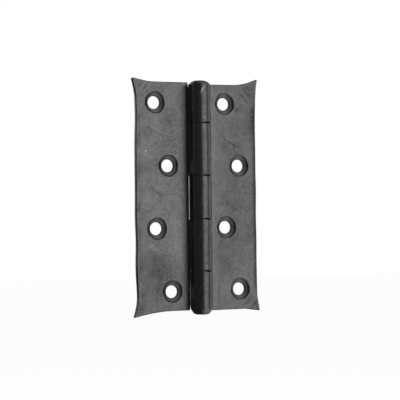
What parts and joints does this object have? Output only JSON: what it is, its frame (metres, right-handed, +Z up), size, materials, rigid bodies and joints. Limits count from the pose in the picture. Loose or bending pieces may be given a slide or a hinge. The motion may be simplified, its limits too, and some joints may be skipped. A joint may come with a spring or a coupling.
{
  "type": "butt hinge",
  "caption": "Hand-forged-look black steel butt hinge with flared corners, countersunk screw holes in a zigzag, and leaves rolled round a fixed pin.",
  "frame": {"origin": "on the pin's axis, at the leaves' mid-height", "axes": "+Z up the pin, +X across the frame leaf, -Y out of the countersunk faces, with the leaves open flat at 180 degrees"},
  "size_m": [0.0639, 0.01, 0.1064],
  "materials": {
    "leaf_coat": "satin black powder coat on hammered steel plate",
    "pin_coat": "satin black powder coat on a peened steel pin"
  },
  "bodies": {
    "frame_side": {"frame_leaf": "leaf_coat", "hinge_pin": "pin_coat"},
    "door_side": {"door_leaf": "leaf_coat"}
  },
  "joints": [
    {"name": "leaf_swing", "type": "hinge", "parent": "frame_side", "child": "door_side", "pos_m": [0, 0, 0], "axis": [0, 0, 1], "range_deg": [-65, 180]}
  ]
}
